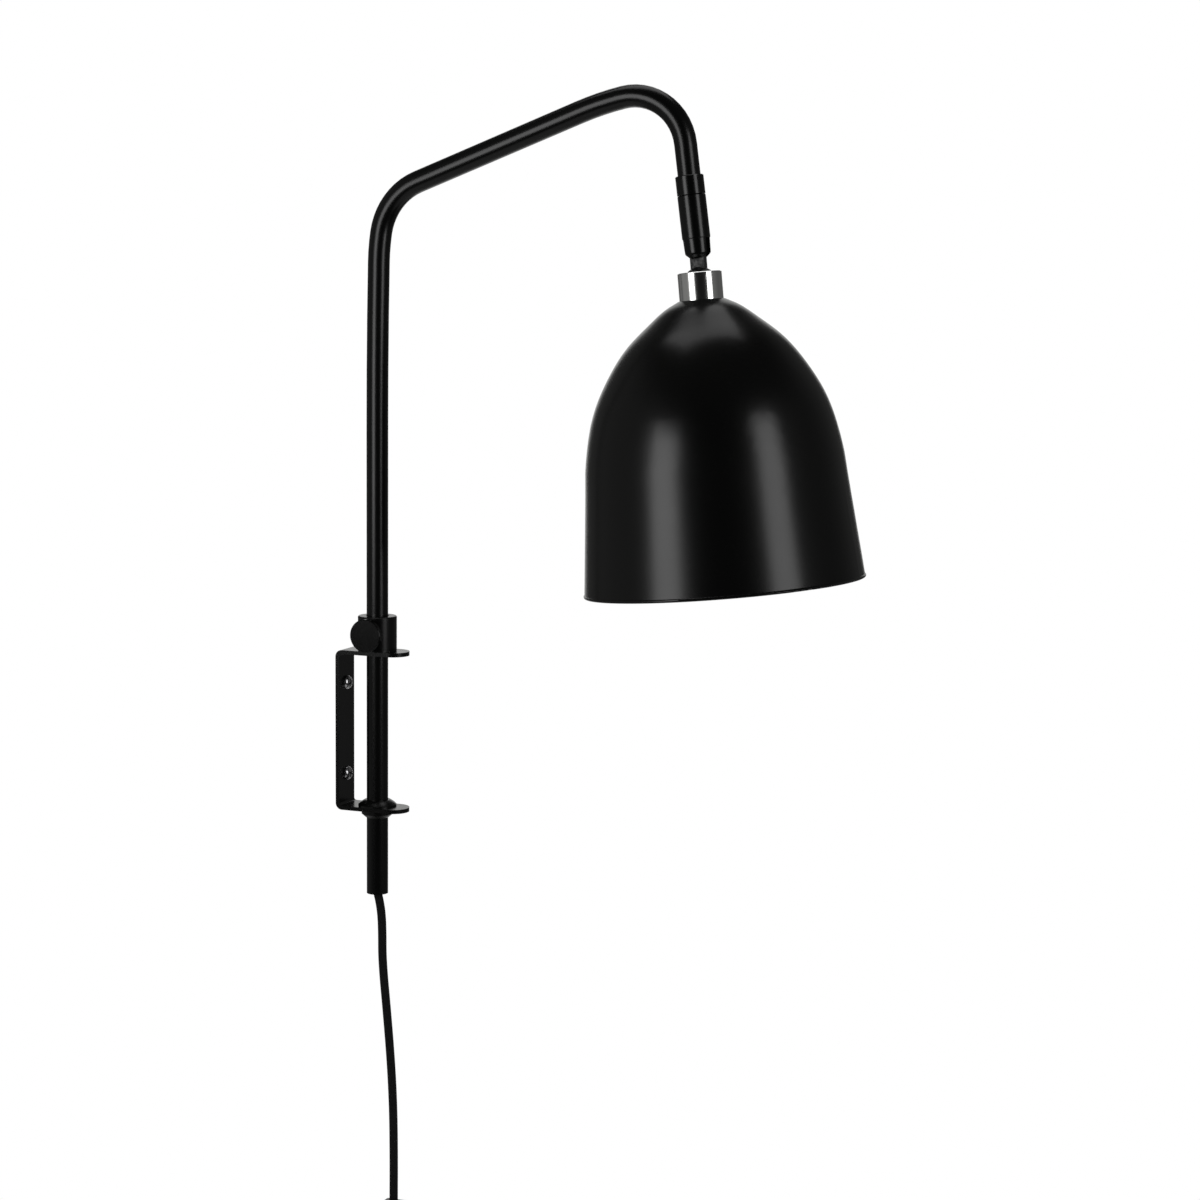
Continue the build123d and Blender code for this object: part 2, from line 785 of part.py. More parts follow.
def switch_rocker():
    """See-saw button: two shallow slopes that meet over the pivot."""
    half = rocker_length / 2 - rocker_edge
    low = -rocker_pivot_radius
    foot = half + low
    top = switch_half + rocker_proud - rocker_pivot
    side = Polyline((-foot, low), (foot, low), (half, top), (0, top - rocker_dip), (-half, top),
                    close=True)
    body = extrude(Plane.YZ * make_face(side), rocker_width / 2, both=True)
    body = fillet(body.edges().filter_by(Axis.X).sort_by(Axis.Z)[-3:], rocker_edge)
    body += Rot(0, 90, 0) * Cylinder(journal_radius, rocker_width + 2 * journal_length)
    return switch_face * Pos(0, 0, rocker_pivot) * Rot(rocker_tilt, 0, 0) * body


# ---- plug -----------------------------------------------------------------------------------
def plug_place(shape):
    return Pos(coil_end_x, 0, plug_top) * shape


def plug_relief():
    """Ribbed sleeve that stiffens the cord above the plug."""
    step = plug_relief_length / (2 * relief_ribs + 1)
    skin = cord_radius + relief_skin
    outline = [(cord_radius, 0), (skin, 0)]
    for i in range(relief_ribs):
        top = -step * (2 * i + 1)
        core = skin + relief_swell * i
        rib = core + relief_rib_height
        outline += [(rib, top), (rib, top - step), (core, top - step), (core, top - 2 * step)]
    outline += [(outline[-1][0] + relief_rib_height, -plug_relief_length),
                (cord_radius, -plug_relief_length)]
    return plug_place(turned(*outline))


def plug_body():
    neck_z = -plug_relief_length
    shoulder_z = neck_z - plug_neck_height
    wide = Rot(0, 0, 90) * SlotOverall(plug_width, plug_depth)
    narrow = Rot(0, 0, 90) * SlotOverall(plug_neck_width, plug_neck_depth)
    grip = loft([Pos(0, 0, neck_z) * narrow, Pos(0, 0, shoulder_z) * wide])
    front = Pos(0, 0, shoulder_z - plug_face_height) * extrude(wide, plug_face_height)
    return plug_place(grip + front)


def plug_pins():
    face_z = -plug_relief_length - plug_neck_height - plug_face_height
    end_z = face_z - plug_pin_length
    pin = turned((0, face_z), (plug_pin_radius, face_z), (plug_pin_radius, end_z + plug_pin_tip),
                 (plug_pin_radius - plug_pin_tip, end_z), (0, end_z))
    half = plug_pin_spacing / 2
    return Compound([plug_place(Pos(0, side * half, 0) * pin).solid() for side in (-1, 1)])


sub_parts = [
    wall_bracket, wall_screws, lower_bush,
    locking_collar, thumbscrew_shank, thumbscrew_knob,
    arm_tube, arm_flex, tube_grommet, tube_insert, swivel_ring, swivel_clip,
    knuckle_body, knuckle_pin, knuckle_washers,
    head_tongue, chrome_cap, shade, shade_nut,
    holder_cap, holder_body, contact_shell, centre_contact, holder_terminals, holder_lead,
    power_cord, cord_link, cord_coil, cord_tail, cord_tie,
    switch_base, switch_cover, switch_rocker, switch_screws,
    plug_relief, plug_body, plug_pins,
]

os.makedirs("parts", exist_ok=True)
for make in sub_parts:
    export_step(make(), os.path.join("parts", make.__name__ + ".step"))
print("arm end", arm_end, "pin", pin_place.position, "plug top", plug_top)
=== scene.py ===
import json
import math

import bpy
from mathutils import Matrix, Vector


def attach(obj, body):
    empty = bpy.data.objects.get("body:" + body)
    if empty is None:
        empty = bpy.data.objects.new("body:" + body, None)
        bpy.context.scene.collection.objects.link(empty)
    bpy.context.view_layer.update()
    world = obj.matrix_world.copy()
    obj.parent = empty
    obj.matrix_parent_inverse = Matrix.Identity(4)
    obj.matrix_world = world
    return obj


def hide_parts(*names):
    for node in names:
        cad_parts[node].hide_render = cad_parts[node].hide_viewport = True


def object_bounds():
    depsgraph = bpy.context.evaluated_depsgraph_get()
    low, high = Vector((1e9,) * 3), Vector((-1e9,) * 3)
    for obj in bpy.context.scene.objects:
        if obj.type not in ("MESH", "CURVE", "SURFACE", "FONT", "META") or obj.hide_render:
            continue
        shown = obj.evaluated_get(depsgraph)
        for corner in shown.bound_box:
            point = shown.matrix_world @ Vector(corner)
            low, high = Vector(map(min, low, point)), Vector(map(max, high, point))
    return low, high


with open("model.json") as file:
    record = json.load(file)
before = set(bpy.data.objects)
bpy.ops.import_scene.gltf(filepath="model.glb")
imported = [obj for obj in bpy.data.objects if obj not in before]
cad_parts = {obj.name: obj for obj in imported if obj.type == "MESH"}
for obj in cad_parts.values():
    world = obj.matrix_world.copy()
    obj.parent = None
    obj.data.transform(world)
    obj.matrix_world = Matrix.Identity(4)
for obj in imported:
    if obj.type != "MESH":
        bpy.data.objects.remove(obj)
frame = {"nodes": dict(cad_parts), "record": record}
nodes = frame["nodes"]
cad_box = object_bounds()
MM = 0.001

# ---- wall bracket ------------------------------------------------------------------------------
# One strip of 2.5 mm steel, bent to a C, its ears rounded and bored.  It is powder coated: satin
# black with a very fine, even grain.  The same coat is on the bush, the collar, the knob, the
# tube and the swivel, each with its own depth of grain.


class Socket:
    """One output of a node; arithmetic on it adds Math nodes."""

    def __init__(self, finish, output):
        self.finish, self.output = finish, output

    def maths(self, operation, *values):
        return self.finish.node("ShaderNodeMath", {"operation": operation}, dict(enumerate(values)))

    def __add__(self, other):
        return self.maths("ADD", self, other)

    def __sub__(self, other):
        return self.maths("SUBTRACT", self, other)

    def __rsub__(self, other):
        return self.maths("SUBTRACT", other, self)

    def __mul__(self, other):
        return self.maths("MULTIPLY", self, other)

    def __truediv__(self, other):
        return self.maths("DIVIDE", self, other)

    def sine(self):
        return self.maths("SINE", self)

    def cosine(self):
        return self.maths("COSINE", self)

    __radd__, __rmul__ = __add__, __mul__


class Finish:
    """A material or world being made: its tree, and one method that adds any node."""

    def __init__(self, name, holder=None):
        self.block = holder or bpy.data.materials.new(name)
        self.block.use_nodes = True
        self.tree = self.block.node_tree
        self.tree.nodes.clear()

    def node(self, kind, settings=None, inputs=None, output=0):
        made = self.tree.nodes.new(kind)
        for key, value in (settings or {}).items():
            if key == "stops":
                ramp = made.color_ramp.elements
                while len(ramp) < len(value):
                    ramp.new(0.5)
                for stop, (place, colour) in zip(ramp, value):
                    stop.position, stop.color = place, colour
            else:
                setattr(made, key, value)
        for key, value in (inputs or {}).items():
            if isinstance(value, Socket):
                self.tree.links.new(value.output, made.inputs[key])
            else:
                made.inputs[key].default_value = value
        return Socket(self, made.outputs[output])

    def coordinates(self, kind="Object"):
        return self.node("ShaderNodeTexCoord", output=kind)

    def noise(self, where, scale, detail=2.0, rough=0.5):
        values = {"Vector": where, "Scale": scale, "Detail": detail, "Roughness": rough}
        return self.node("ShaderNodeTexNoise", {}, values)

    def mix(self, factor, low, high):
        return self.node("ShaderNodeMix", {"data_type": "RGBA"}, {0: factor, 6: low, 7: high}, 2)

    def ramp(self, factor, low, high):
        """0 below low, 1 above high, smooth between."""
        values = {"Value": factor, "From Min": low, "From Max": high}
        return self.node("ShaderNodeMapRange", {"interpolation_type": "SMOOTHSTEP"}, values)

    def vector(self, operation, first, second, output=0):
        values = {0: first, 1: second}
        return self.node("ShaderNodeVectorMath", {"operation": operation}, values, output)

    def bump(self, height, depth, under=None):
        values = {"Height": height, "Strength": 1.0, "Distance": depth}
        if under:
            values["Normal"] = under
        return self.node("ShaderNodeBump", {}, values)

    def done(self, **values):
        named = {key.replace("_", " "): value for key, value in values.items()}
        shader = self.node("ShaderNodeBsdfPrincipled", {}, named)
        self.node_end(shader)
        return self.block

    def node_end(self, shader):
        end = self.tree.nodes.new("ShaderNodeOutputMaterial")
        self.tree.links.new(shader.output, end.inputs["Surface"])


def dress(material, *names):
    """Gives CAD nodes or pieces their finish."""
    for name in names:
        piece = nodes.get(name) or bpy.data.objects[name]
        piece.data.materials.clear()
        piece.data.materials.append(material)


COAT_BLACK = (0.0016, 0.0017, 0.0016, 1)
COAT_DUST = (0.0045, 0.0045, 0.0044, 1)
COAT_ROUGHNESS = 0.26
COAT_GLOSS = 0.33
COAT_GRAIN = 1400.0
COAT_GRAIN_DEPTH = 0.000006
COAT_FLOW = 90.0
COAT_FLOW_SPREAD = 0.035
COAT_GRAIN_SPREAD = 0.05
SPECK_SCALE = COAT_GRAIN * 0.6
SPECK_FROM, SPECK_FULL = 0.66, 0.74
SPECK_SHARE = 0.5


def coat_colour(coat, where):
    """Black with a few paler specks."""
    speck = coat.ramp(coat.noise(where, SPECK_SCALE, 1.0), SPECK_FROM, SPECK_FULL)
    return coat.mix(speck * SPECK_SHARE, COAT_BLACK, COAT_DUST)


def powder_coat(name, depth=COAT_GRAIN_DEPTH, roughness=COAT_ROUGHNESS, gloss=COAT_GLOSS):
    coat = Finish(name)
    where = coat.coordinates()
    grain = coat.noise(where, COAT_GRAIN, 3.0, 0.6)
    flow = coat.noise(where, COAT_FLOW, 2.0)
    uneven = (flow - 0.5) * COAT_FLOW_SPREAD + (grain - 0.5) * COAT_GRAIN_SPREAD
    return coat.done(
        Base_Color=coat_colour(coat, where),
        Roughness=uneven + roughness,
        Normal=coat.bump(grain, depth),
        Specular_IOR_Level=gloss,
    )


frame_coat = powder_coat("frame_coat")
dress(frame_coat, "wall_bracket")

# ---- wall screws -------------------------------------------------------------------------------
# Two zinc-plated steel screws with pan heads and a cross recess, pressed and then tumbled: bright,
# with faint turning marks and a darker recess.
ZINC = (0.60, 0.60, 0.61, 1)
ZINC_SHADE = (0.34, 0.34, 0.35, 1)
ZINC_CLOUD = 700.0
ZINC_SCRATCH = 2600.0
ZINC_SCRATCH_DEPTH = 0.000003
ZINC_ROUGHNESS = 0.24


def zinc_plate(name, roughness=ZINC_ROUGHNESS):
    """Bright plating with clouds of duller metal and fine scratches."""
    zinc = Finish(name)
    where = zinc.coordinates()
    cloud = zinc.noise(where, ZINC_CLOUD, 3.0)
    scratch = zinc.noise(where, ZINC_SCRATCH, 2.0)
    return zinc.done(
        Base_Color=zinc.mix(cloud * 0.5, ZINC, ZINC_SHADE),
        Metallic=1.0,
        Roughness=(cloud - 0.5) * 0.16 + roughness,
        Normal=zinc.bump(scratch, ZINC_SCRATCH_DEPTH),
    )


zinc = zinc_plate("bright_zinc")
dress(zinc, "wall_screws")

# ---- lower bush, collar and thumbscrew ---------------------------------------------------------
# Turned pieces.  The bush is pressed into the lower ear; the collar sits in the upper ear and
# holds the tube with the thumbscrew, whose knob is a plain disc.  All are coated like the bracket,
# the knob a little smoother and duller.
TURNED_GRAIN_DEPTH = COAT_GRAIN_DEPTH * 0.7
TURNED_ROUGHNESS = COAT_ROUGHNESS + 0.03
KNOB_ROUGHNESS = 0.20
KNOB_GLOSS = 0.20

turned_coat = powder_coat("turned_coat", TURNED_GRAIN_DEPTH, TURNED_ROUGHNESS)
knob_coat = powder_coat("knob_coat", TURNED_GRAIN_DEPTH, KNOB_ROUGHNESS, KNOB_GLOSS)
dress(turned_coat, "lower_bush", "locking_collar")
dress(knob_coat, "thumbscrew_knob")
dress(zinc, "thumbscrew_shank")

# ---- arm tube ----------------------------------------------------------------------------------
# Steel tube of 13 mm, bent cold on a mandrel and coated after bending.
dress(powder_coat("tube_coat"), "arm_tube")

RUBBER = (0.012, 0.012, 0.012, 1)
MOULD_GRAIN = 900.0
MOULD_GRAIN_DEPTH = 0.000008
MOULD_WEAR = 60.0


def moulded(name, colour, roughness, grain=MOULD_GRAIN, depth=MOULD_GRAIN_DEPTH):
    """Moulded rubber or plastic with an eroded mould's fine grain."""
    mould = Finish(name)
    where = mould.coordinates()
    pits = mould.noise(where, grain, 2.0, 0.6)
    wear = mould.noise(where, MOULD_WEAR, 3.0)
    lighter = tuple(min(1.0, value * 1.5) for value in colour[:3]) + (1,)
    return mould.done(
        Base_Color=mould.mix(wear * 0.5, colour, lighter),
        Roughness=(wear - 0.5) * 0.10 + roughness,
        Normal=mould.bump(pits, depth),
    )


rubber = moulded("moulded_rubber", RUBBER, 0.62)
dress(rubber, "tube_grommet", "plug_relief")
dress(zinc, "tube_insert")

# ---- swivel ------------------------------------------------------------------------------------
# A turned ring screwed to the tube and a forked knuckle that turns under it on a spring clip.  The
# tongue hangs in the fork on a cross pin, between two thin washers.
WASHER_GREY = (0.03, 0.03, 0.03, 1)

swivel_coat = powder_coat("swivel_coat", COAT_GRAIN_DEPTH * 0.5, COAT_ROUGHNESS - 0.05)
dress(swivel_coat, "swivel_ring", "knuckle_body")
dress(zinc, "swivel_clip", "knuckle_pin")
dress(moulded("washer_plastic", WASHER_GREY, 0.45), "knuckle_washers")

TONGUE_GREY = (0.010, 0.010, 0.010, 1)
TONGUE_WORN = (0.040, 0.040, 0.039, 1)
TONGUE_PATCH = 420.0
TONGUE_GRAIN = 2400.0
TONGUE_GRAIN_DEPTH = 0.000006


def blackened_steel(name):
    """Chemically blackened bar: uneven, with rubbed, lighter patches."""
    steel = Finish(name)
    where = steel.coordinates()
    patch = steel.ramp(steel.noise(where, TONGUE_PATCH, 4.0, 0.65), 0.42, 0.70)
    grain = steel.noise(where, TONGUE_GRAIN, 2.0)
    return steel.done(
        Base_Color=steel.mix(patch, TONGUE_GREY, TONGUE_WORN),
        Metallic=0.35,
        Roughness=patch * -0.12 + 0.42,
        Normal=steel.bump(grain, TONGUE_GRAIN_DEPTH),
        Specular_IOR_Level=0.22,
    )


dress(blackened_steel("blackened_steel"), "head_tongue")

# ---- chrome cap --------------------------------------------------------------------------------
# A turned brass cup, polished and chrome plated, that covers the shade's neck.
CHROME = (0.90, 0.905, 0.89, 1)
CHROME_DIM = (0.84, 0.845, 0.83, 1)
CHROME_HAZE = 260.0
CHROME_POLISH = 3200.0
CHROME_POLISH_DEPTH = 0.0000012
CHROME_ROUGHNESS = 0.15


def chrome_plate(name):
    """Polished plating with a faint haze and the polisher's fine marks."""
    chrome = Finish(name)
    where = chrome.coordinates()
    haze = chrome.noise(where, CHROME_HAZE, 3.0)
    polish = chrome.noise(where, CHROME_POLISH, 2.0)
    return chrome.done(
        Base_Color=chrome.mix(haze, CHROME, CHROME_DIM),
        Metallic=1.0,
        Roughness=(haze - 0.5) * 0.04 + CHROME_ROUGHNESS,
        Normal=chrome.bump(polish, CHROME_POLISH_DEPTH),
    )


dress(chrome_plate("chrome_plate"), "chrome_cap")

# ---- shade -------------------------------------------------------------------------------------
# Spun from a 1 mm disc, with a rolled rim; satin black outside, matt white inside.  The head's axis
# runs from the knuckle pin down through the cap, the shade and the lampholder.
PIN = Vector(next(joint["pos_m"] for joint in frame["record"]["behaviour"]["joints"]
                  if joint["name"] == "head_tilt"))
HEAD_TILT = math.radians(5.8)
HEAD_DOWN = Vector((math.sin(HEAD_TILT), 0.0, -math.cos(HEAD_TILT)))
INNER_WHITE = (0.78, 0.775, 0.75, 1)
SHADE_ROUGHNESS = 0.25
INNER_ROUGHER = 0.22
SHADE_FLOW = 38.0
SHADE_FLOW_SPREAD = 0.03


def shade_finish(name):
    """The coat outside and white inside, told apart by which way the surface faces."""
    coat = Finish(name)
    where = coat.coordinates()
    facing = coat.coordinates("Normal")

    arm = coat.vector("SUBTRACT", where, tuple(PIN))
    along = coat.vector("DOT_PRODUCT", arm, tuple(HEAD_DOWN), 1)
    axial = coat.node("ShaderNodeVectorMath", {"operation": "SCALE"},
                      {0: tuple(HEAD_DOWN), "Scale": along})
    outward = coat.vector("NORMALIZE", coat.vector("SUBTRACT", arm, axial), (0, 0, 0))
    inside = coat.ramp(coat.vector("DOT_PRODUCT", facing, outward, 1), 0.02, -0.02)
    grain = coat.noise(where, COAT_GRAIN, 3.0, 0.6)
    flow = coat.noise(where, SHADE_FLOW, 3.0)
    uneven = (flow - 0.5) * SHADE_FLOW_SPREAD + (grain - 0.5) * COAT_GRAIN_SPREAD
    return coat.done(
        Base_Color=coat.mix(inside, coat_colour(coat, where), INNER_WHITE),
        Roughness=inside * INNER_ROUGHER + uneven + SHADE_ROUGHNESS,
        Normal=coat.bump(grain, COAT_GRAIN_DEPTH),
        Specular_IOR_Level=COAT_GLOSS,
    )


dress(shade_finish("shade_coat"), "shade")
dress(zinc, "shade_nut")

# ---- lampholder --------------------------------------------------------------------------------
# Black moulded cap and body for a small screw cap, with stamped brass inside.
HOLDER_BLACK = (0.014, 0.014, 0.014, 1)
dress(moulded("holder_plastic", HOLDER_BLACK, 0.36), "holder_cap", "holder_body")

BRASS = (0.72, 0.52, 0.24, 1)
BRASS_DULL = (0.46, 0.32, 0.14, 1)
BRASS_TARNISH = 320.0
BRASS_DEPTH = 0.000008


def stamped_brass(name):
    brass = Finish(name)
    where = brass.coordinates()
    tarnish = brass.noise(where, BRASS_TARNISH, 4.0, 0.6)
    return brass.done(
        Base_Color=brass.mix(tarnish, BRASS, BRASS_DULL),
        Metallic=1.0,
        Roughness=tarnish * 0.20 + 0.20,
        Normal=brass.bump(tarnish, BRASS_DEPTH),
    )


dress(stamped_brass("stamped_brass"), "contact_shell", "centre_contact", "holder_terminals")

# ---- textile cord ------------------------------------------------------------------------------
# Mains lead with a woven black braid, 5.2 mm thick and 1.86 m long: it hangs from the tube's mouth,
# runs through its switch, is put away in a coil and ends in its plug.
CORD_RADIUS = 2.6 * MM
CORD_ROUTE = [
    (23.3, -100.6), (24.5, -104.4), (26.1, -113.7), (26.6, -125.2), (26.6, -143.2), (30.0, -177.2),
    (32.6, -207.2), (34.1, -235.2), (34.5, -265.2), (34.4, -295.2),
]
SWITCH_LENGTH, LINK_LENGTH, TAIL_LENGTH = 58.0, 22.0, 60.0
COIL_LAYERS, TURNS_PER_LAYER, COIL_PITCH, COIL_MEAN_RADIUS = 4, 2, 5.8, 30.0
COIL_STRAIGHT = 5.2
POINTS_PER_TURN = 24
CORD_STEP = 1.2 * MM
CORD_SIDES = 20
INNER_LEAD_BLACK = (0.015, 0.015, 0.015, 1)


def coil_points(start):
    """Control points of the coil, in millimetres: in and out again, a layer further each time."""
    turns = COIL_LAYERS * TURNS_PER_LAYER
    outer = COIL_MEAN_RADIUS + COIL_PITCH * TURNS_PER_LAYER / 2
    swell = 1 / (0.75 + 0.25 * math.cos(math.tau / POINTS_PER_TURN))
    points = []
    for i in range(turns * POINTS_PER_TURN + 1):
        turn = i / POINTS_PER_TURN
        layer = min(int(turn / TURNS_PER_LAYER), COIL_LAYERS - 1)
        step = turn - layer * TURNS_PER_LAYER
        radius = outer - COIL_PITCH * (step if layer % 2 == 0 else TURNS_PER_LAYER - step)
        nearest = round(turn / TURNS_PER_LAYER)
        across = turn - nearest * TURNS_PER_LAYER
        rise = 0.0
        if 0 < nearest < COIL_LAYERS and abs(across) < 0.25:
            rise = 0.5 + 0.5 * math.sin(math.tau * across) - (across >= 0)
        angle = math.pi + math.tau * turn
        reach = radius * (1 if i in (0, turns * POINTS_PER_TURN) else swell)
        points.append(Vector((start.x + COIL_PITCH * (layer + rise),
                              outer + reach * math.cos(angle), start.z + reach * math.sin(angle))))
    return points


def cord_control_points():
    route = [Vector((x, 0, z)) for x, z in CORD_ROUTE]
    switch_foot = route[-1] - Vector((0, 0, SWITCH_LENGTH))
    coil_top = switch_foot - Vector((0, 0, LINK_LENGTH))
    coil = coil_points(coil_top - Vector((0, 0, COIL_STRAIGHT)))
    tail_top = coil[-1] - Vector((0, 0, COIL_STRAIGHT))
    return route + [switch_foot, coil_top, *coil, tail_top, tail_top - Vector((0, 0, TAIL_LENGTH))]


def smooth_line(points, name):
    """Points along the NURBS spline that the control points make."""
    line = bpy.data.curves.new(name, "CURVE")
    line.dimensions, line.resolution_u = "3D", 12
    spline = line.splines.new("NURBS")
    spline.points.add(len(points) - 1)
    for target, point in zip(spline.points, points):
        target.co = (*point, 1)
    spline.order_u, spline.use_endpoint_u = 3, True
    holder = bpy.data.objects.new(name, line)
    sampled = bpy.data.meshes.new_from_object(holder)
    found = [vertex.co.copy() for vertex in sampled.vertices]
    bpy.data.objects.remove(holder)
    bpy.data.meshes.remove(sampled)
    return found


def even_steps(path, step):
    """The path again, with points at even steps along it."""
    result, left = [path[0]], step
    for a, b in zip(path, path[1:]):
        span = (b - a).length
        place = left
        while place < span:
            result.append(a.lerp(b, place / span))
            place += step
        left = place - span
    if (result[-1] - path[-1]).length < step * 0.5:
        result.pop()
    return result + [path[-1]]


def tube_mesh(name, path, radius, sides):
    """A closed tube along the path; its UV holds the turn round it and the length along it."""
    ahead = [(path[min(i + 1, len(path) - 1)] - path[max(i - 1, 0)]).normalized()
             for i in range(len(path))]
    side = ahead[0].orthogonal().normalized()
    rings, lengths, length = [], [], 0.0
    for i, (point, way) in enumerate(zip(path, ahead)):
        side = (side - way * side.dot(way)).normalized()
        other = way.cross(side)
        rings.append([point + (side * math.cos(a) + other * math.sin(a)) * radius
                      for a in (math.tau * k / sides for k in range(sides))])
        length += (point - path[i - 1]).length if i else 0.0
        lengths.append(length)
    faces, places = [], []
    for i in range(len(path) - 1):
        for k in range(sides):
            after = (k + 1) % sides
            near, far = i * sides, (i + 1) * sides
            faces.append((near + k, near + after, far + after, far + k))
            u, v = k / sides, (k + 1) / sides
            places += [(u, lengths[i]), (v, lengths[i]), (v, lengths[i + 1]), (u, lengths[i + 1])]
    last = (len(path) - 1) * sides
    faces += [tuple(reversed(range(sides))), tuple(range(last, last + sides))]
    places += [(0.0, lengths[0])] * sides + [(0.0, lengths[-1])] * sides
    mesh = bpy.data.meshes.new(name)
    mesh.from_pydata([corner for ring in rings for corner in ring], [], faces)
    layer = mesh.uv_layers.new(name="along")
    for loop, place in zip(layer.data, places):
        loop.uv = place
    mesh.polygons.foreach_set("use_smooth", [True] * len(mesh.polygons))
    piece = bpy.data.objects.new(name, mesh)
    bpy.context.scene.collection.objects.link(piece)
    return piece


BRAID_DARK = (0.001, 0.001, 0.0011, 1)
BRAID_LIGHT = (0.006, 0.006, 0.0063, 1)
BRAID_CARRIERS = 12
BRAID_PITCH = 0.0125
BRAID_DEPTH = 0.00022
BRAID_FUZZ = 4200.0


def braided_textile(name):
    """Two sets of yarns that run round the cord both ways and pass over and under each other."""
    braid = Finish(name)
    place = braid.node("ShaderNodeUVMap", {"uv_map": "along"})
    yarns = BRAID_CARRIERS * math.tau
    around = braid.node("ShaderNodeSeparateXYZ", {}, {0: place}, 0) * yarns
    forward = braid.node("ShaderNodeSeparateXYZ", {}, {0: place}, 1) * (yarns / BRAID_PITCH)
    over = braid.ramp(around.sine() * forward.sine(), -0.15, 0.15)
    one_way = (around + forward).cosine() * 0.5 + 0.5
    other_way = (around - forward).cosine() * 0.5 + 0.5
    height = one_way * over + other_way * (1 - over)
    fuzz = braid.noise(braid.coordinates(), BRAID_FUZZ, 2.0, 0.7)
    return braid.done(
        # The colour follows the weave's height: it is darker in the grooves between the yarns,
        # which is painted shade, with the fuzz's random tone mixed in.
        Base_Color=braid.mix(height * 0.7 + fuzz * 0.3, BRAID_DARK, BRAID_LIGHT),
        Roughness=fuzz * 0.2 + 0.62,
        Normal=braid.bump(height + fuzz * 0.35, BRAID_DEPTH),
        Specular_IOR_Level=0.22,
        Sheen_Weight=0.04,
        Sheen_Roughness=0.4,
    )


cord_path = [point * MM for point in smooth_line(cord_control_points(), "cord_route")]
cord_path = even_steps(cord_path, CORD_STEP)
cord = tube_mesh("textile_cord", cord_path, CORD_RADIUS, CORD_SIDES)
dress(braided_textile("braided_textile"), "textile_cord")
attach(cord, "arm")
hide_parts("power_cord", "cord_link", "cord_coil", "cord_tail")
dress(moulded("inner_lead", INNER_LEAD_BLACK, 0.6), "arm_flex", "holder_lead")

# ---- tie, switch and plug ----------------------------------------------------------------------
# A woven strap holds the coil.  The switch is two moulded shells with a rocker; the plug is a flat
# two-pin one moulded on to a ribbed relief, with nickel-plated pins.
STRAP_BLACK = (0.012, 0.012, 0.012, 1)
STRAP_WEAVE, STRAP_WEAVE_DEPTH = 1500.0, 0.00003
SWITCH_BLACK = (0.010, 0.010, 0.010, 1)
ROCKER_BLACK = (0.013, 0.013, 0.013, 1)
ROCKER_GRAIN, ROCKER_GRAIN_DEPTH = 1200.0, 0.000003
PLUG_BLACK = (0.012, 0.012, 0.012, 1)
NICKEL_ROUGHNESS = 0.18

strap = moulded("tie_strap", STRAP_BLACK, 0.8, STRAP_WEAVE, STRAP_WEAVE_DEPTH)
rocker = moulded("rocker_plastic", ROCKER_BLACK, 0.26, ROCKER_GRAIN, ROCKER_GRAIN_DEPTH)
dress(strap, "cord_tie")
dress(moulded("switch_plastic", SWITCH_BLACK, 0.34), "switch_base", "switch_cover")
dress(rocker, "switch_rocker")
dress(zinc, "switch_screws")
dress(moulded("plug_plastic", PLUG_BLACK, 0.48), "plug_body")
dress(zinc_plate("nickel_plate", NICKEL_ROUGHNESS), "plug_pins")

# ---- studio ------------------------------------------------------------------------------------
# A pale floor below the plug of the lowered arm, a tall soft box on each side and one overhead.
# The room is dark behind the camera and grey at its sides; the backdrop is white.
SOFT_BOXES = [
    # name, centre, aims at, width, height, radiance
    ("left_soft_box", (-0.208, -0.900, 0.29), (0.225, 0.0, 0.29), 0.40, 0.58, 4.3),
    ("left_wide_box", (-0.208, -0.900, 0.29), (0.225, 0.0, 0.29), 0.62, 0.58, 0.5),
    ("right_soft_box", (1.153, -0.372, 0.37), (0.225, 0.0, 0.37), 0.40, 0.86, 3.6),
    ("top_soft_box", (0.06, 0.19, 1.13), (0.225, 0.0, 0.20), 0.85, 0.50, 1.35),
]


def soft_box(name, centre, aim, width, height, radiance):
    light = bpy.data.lights.new(name, "AREA")
    light.shape, light.size, light.size_y = "RECTANGLE", width, height
    light.energy = radiance * math.pi * width * height
    box = bpy.data.objects.new(name, light)
    box.location = centre
    box.rotation_euler = (Vector(aim) - Vector(centre)).to_track_quat("-Z", "Y").to_euler()
    bpy.context.scene.collection.objects.link(box)


for values in SOFT_BOXES:
    soft_box(*values)

# the photograph's camera, fitted to the tube, the bracket's edges, the cap and the shade's rim
CAMERA_PLACE = Vector((0.7166, -1.39156, 0.2716))
CAMERA_RIGHT = Vector((0.92890, 0.37019, 0.01003))
CAMERA_UP = Vector((-0.05433, 0.10944, 0.99251))
CAMERA_BACK = Vector((0.36632, -0.92248, 0.12177))
CAMERA_LENS = 77.727
CAMERA_SENSOR = 36.0
PHOTO_SIZE = 1200.0
PHOTO_CENTRE = (594.5, 598.7)

camera_data = bpy.data.cameras.new("camera")
camera_data.sensor_width, camera_data.lens = CAMERA_SENSOR, CAMERA_LENS
camera_data.shift_x = 0.5 - PHOTO_CENTRE[0] / PHOTO_SIZE
camera_data.shift_y = PHOTO_CENTRE[1] / PHOTO_SIZE - 0.5
camera = bpy.data.objects.new("camera", camera_data)
turn = Matrix((CAMERA_RIGHT, CAMERA_UP, CAMERA_BACK)).transposed().to_4x4()
camera.matrix_world = Matrix.Translation(CAMERA_PLACE) @ turn
bpy.context.scene.collection.objects.link(camera)
bpy.context.scene.camera = camera

